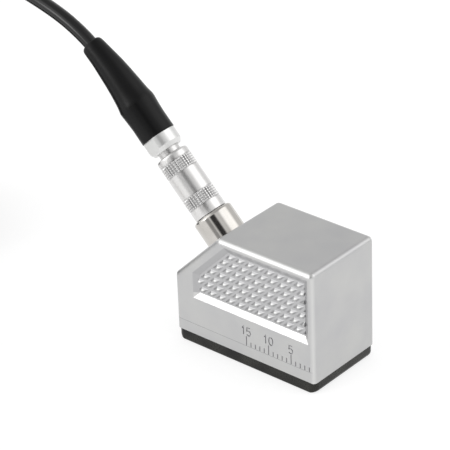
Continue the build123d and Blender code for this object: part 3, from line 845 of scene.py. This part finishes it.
def coil_strap():
    """Strap of constant width round the coil, with pressed edges, a selvage and a round end."""
    line = strap_line()
    upper = [(-share, half) for share, half in reversed(STRAP_PROFILE)]
    upper += STRAP_PROFILE[1:]
    ring = upper + [(share, -half) for share, half in reversed(upper)]
    vertices = []
    for number, (place, out) in enumerate(line):
        left = (len(line) - 1 - number) * STRAP_STEP
        bare = max(0.0, 1 - left / STRAP_ROUND_END)
        half_width = STRAP_WIDTH / 2 * max(STRAP_BLUNT, sqrt(1 - bare ** 2))
        for share, half in ring:
            radius = COIL_MEAN_RADIUS + place.x + out.x * half
            turned = radians(STRAP_ANGLE) + share * half_width / (COIL_MEAN_RADIUS + place.x)
            vertices.append(
                (
                    (COIL_CENTRE[0] + radius * cos(turned)) * MM,
                    (COIL_CENTRE[1] + radius * sin(turned)) * MM,
                    (place.y + out.y * half) * MM,
                )
            )
    return ringed_piece("coil_strap", vertices, len(ring), STRAP_SMOOTH_ANGLE)


def paint(target, material):
    """Gives a piece or a CAD node one material."""
    piece = frame["nodes"][target] if isinstance(target, str) else target
    piece.data.materials.clear()
    piece.data.materials.append(material)


def build_stage():
    """White table under a pale studio with soft bright patches and dark ones.

    The table is painted board: matt, so that nothing is mirrored in it, and it glows so
    that it stays as white as the photograph's ground.
    """
    bpy.ops.mesh.primitive_plane_add(size=TABLE_SIZE)
    table = bpy.context.object
    table.name = "floor"
    made, tree, place = blank("painted_board")
    inputs = grained(tree, place, 400.0, 60.0, ("#9c9c9c", "#a0a0a0"), (0.86, 0.94), 0.01)
    glow = {"Emission Color": WHITE, "Emission Strength": FLOOR_GLOW}
    surface(tree, {**inputs, **glow, "Specular IOR Level": 0.1})
    paint(table, made)

    world = bpy.data.worlds.new("studio")
    world.use_nodes = True
    tree = world.node_tree
    tree.nodes.clear()
    direction = add(tree, "ShaderNodeTexCoord", {}, "Generated")
    light = SKY_LEVEL
    for towards, reach, core, strength in SKY_PATCHES:
        nearness = add(
            tree,
            "ShaderNodeVectorMath",
            {0: direction, 1: Vector(towards).normalized()},
            "Value",
            operation="DOT_PRODUCT",
        )
        patch = add(
            tree,
            "ShaderNodeMapRange",
            {
                "Value": nearness,
                "From Min": cos(radians(reach)),
                "From Max": cos(radians(core)),
                "To Min": 0.0,
                "To Max": strength,
            },
            interpolation_type="SMOOTHSTEP",
        )
        light = add(tree, "ShaderNodeMath", {0: light, 1: patch}, operation="ADD")
    background = add(tree, "ShaderNodeBackground", {"Color": WHITE, "Strength": light})
    add(tree, "ShaderNodeOutputWorld", {"Surface": background})
    bpy.context.scene.world = world


def build_camera():
    """Camera at the photograph's place, with its view and its framing."""
    data = bpy.data.cameras.new("camera")
    data.lens = CAMERA_LENS
    data.sensor_width = SENSOR_WIDTH
    data.sensor_fit = "HORIZONTAL"
    data.clip_end = 20.0
    camera = bpy.data.objects.new("camera", data)
    turned = Matrix((CAMERA_RIGHT, CAMERA_UP, CAMERA_BACK)).transposed()
    camera.matrix_world = Matrix.Translation(CAMERA_PLACE) @ turned.to_4x4()
    bpy.context.scene.collection.objects.link(camera)
    bpy.context.scene.camera = camera
    bpy.context.scene.view_settings.view_transform = "Standard"


def finish_plug(place, prefix, sleeve_body):
    """Sleeve and boot of one plug, in place of the plain ones."""
    sleeve = release_sleeve(prefix + "knurled_sleeve", place)
    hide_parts(prefix + "plug_sleeve")
    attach(sleeve, sleeve_body)
    boot = strain_boot(prefix + "rubber_boot", place)
    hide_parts(prefix + "plug_boot")
    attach(boot, "probe")
    return sleeve, boot


build_camera()
build_stage()

block_metal = blasted_block_metal()

# Socket ring: brass, polished and nickel plated: hard bands of light and dark, a little warm
nickel = plated("polished_nickel_plate", ("#c1beb9", "#cac7c3"), (0.07, 0.13), 2.5, 0.6, 0.0005)

# Plug shells: brass, turned and satin chrome plated: soft bands of light along the round
satin_chrome = plated("satin_chrome_plate", ("#cfcecd", "#d7d6d5"), (0.27, 0.34), 6.0, 0.12, 0.002)
# Sleeves: the same plate, with painted shade in the knurling's grooves
knurled_chrome = knurled_plate()

# Nuts: brass, blasted before the chrome: one even pale grey
dull_chrome = plated("blasted_nut_plate", ("#dcdcdb", "#e2e2e1"), (0.33, 0.40), 6.0, 0.12, 0.002)

# Boots: moulded rubber: nearly black, with a broad soft gloss
rubber = moulded("moulded_rubber", ("#060607", "#09090a"), (0.30, 0.38), 0.25, 0.008, 1.52, 0.19)

# Cable jacket: extruded PVC, smoother than the boot, so its light gathers in one line
jacket = moulded("extruded_pvc", ("#0b0b0c", "#0f0f10"), (0.13, 0.19), 0.5, 0.003, 1.53, 0.40)

# Sole: moulded nylon, worn smooth in patches by sliding over steel, so its black is uneven
sole_nylon = moulded("moulded_nylon", ("#0c0c0c", "#2c2c28"), (0.24, 0.34), 0.3, 0.006, 1.53, 0.21)

# Inside: filled epoxy is a dull brown black, and sintered ferrite a dull blue black
epoxy = moulded("filled_epoxy", ("#2a2725", "#35312d"), (0.56, 0.65), 0.2, 0.02, 1.55)
ferrite = moulded("sintered_ferrite", ("#1b1b1e", "#26262a"), (0.5, 0.6), 0.1, 0.01, 1.6)

# Inside: fired ceramic is pale with a faint gloss, and machined PEEK plastic a duller cream
ceramic = moulded("fired_ceramic", ("#cfc9b4", "#ddd8c6"), (0.3, 0.4), 0.1, 0.004, 1.6)
peek = moulded("machined_peek", ("#d6cfb8", "#e2dcc9"), (0.36, 0.45), 0.2, 0.004, 1.65)

# Inside: turned brass glows a soft yellow, gold plate a deeper and brighter one, and the
# enamel gives copper wire its red brown
brass = plated("turned_brass", ("#b8965a", "#c6a76c"), (0.25, 0.32))
gold = plated("gold_plate", ("#cfa24a", "#dcb460"), (0.15, 0.22))
copper = plated("enamelled_copper", ("#a85d33", "#b86c40"), (0.27, 0.34))
acrylic = cast_acrylic()
strap = knitted_strap()

finishes = {
    "housing": block_metal,
    "socket_shell": nickel,
    "wedge": acrylic,
    "crystal": ceramic,
    "backing": epoxy,
    "absorber": epoxy,
    "potting": epoxy,
    "coil_core": ferrite,
    "coil_winding": copper,
    "crystal_lead": copper,
    "coil_lead": copper,
    "ground_lead": copper,
    "ground_tag": brass,
    "socket_nut": brass,
    "socket_insulator": peek,
    "socket_contact": gold,
}
for prefix in ("", "far_"):
    finishes[prefix + "plug_body"] = satin_chrome
    finishes[prefix + "collet_nut"] = dull_chrome
    finishes[prefix + "plug_latch"] = brass
    finishes[prefix + "plug_collet"] = brass
    finishes[prefix + "plug_insulator"] = peek
    finishes[prefix + "plug_pin"] = gold
    finishes[prefix + "plug_cable_end"] = jacket
for node_name, material in finishes.items():
    paint(node_name, material)

near_sleeve, near_boot = finish_plug(near_place(), "", "release_sleeve")
far_sleeve, far_boot = finish_plug(far_place(), "far_", "far_release_sleeve")
for sleeve in (near_sleeve, far_sleeve):
    paint(sleeve, knurled_chrome)
for boot in (near_boot, far_boot):
    paint(boot, rubber)

sole = worn_sole()
paint(sole, sole_nylon)
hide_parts("wear_sole")
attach(sole, "probe")

coil_band = coil_strap()
paint(coil_band, strap)
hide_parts("coil_tie")
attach(coil_band, "probe")

cable = cable_cord()
paint(cable, jacket)
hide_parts("cable", "cable_coil", "cable_tail")
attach(cable, "probe")
far_pieces = [far_sleeve, far_boot, coil_band, "far_collet_nut"]
far_pieces += ["far_plug_" + end for end in ("body", "latch", "insulator", "pin", "collet", "cable_end")]
